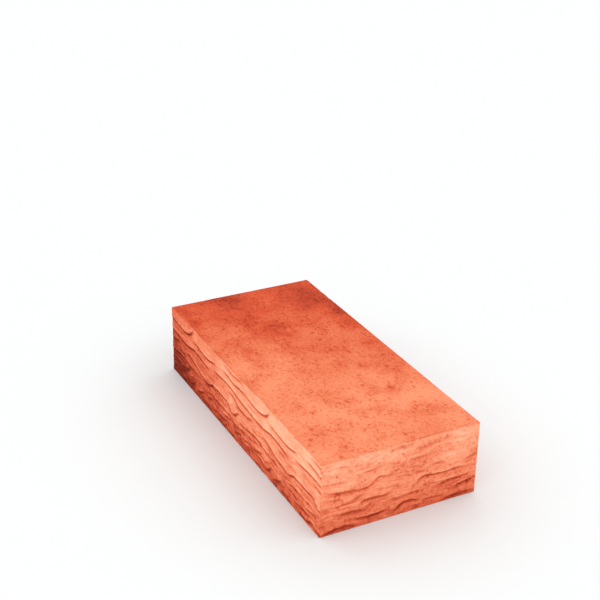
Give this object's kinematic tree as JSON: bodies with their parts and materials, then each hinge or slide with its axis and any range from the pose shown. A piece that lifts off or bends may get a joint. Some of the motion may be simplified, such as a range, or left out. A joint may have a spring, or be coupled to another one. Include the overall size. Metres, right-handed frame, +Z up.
{
  "type": "clay brick",
  "caption": "Solid fired-clay facing brick with plain beds and back, a bark relief on one long face and on its ends, for laying in mortar.",
  "frame": {"origin": "centre of the bottom bed face", "axes": "+X along the length, -Y out of the bark-textured long face, +Z up through the brick's thickness"},
  "size_m": [0.25, 0.12, 0.055],
  "materials": {
    "fired_clay": "matt, fired salmon-orange clay"
  },
  "bodies": {
    "root": {"brick": "fired_clay"}
  },
  "joints": []
}
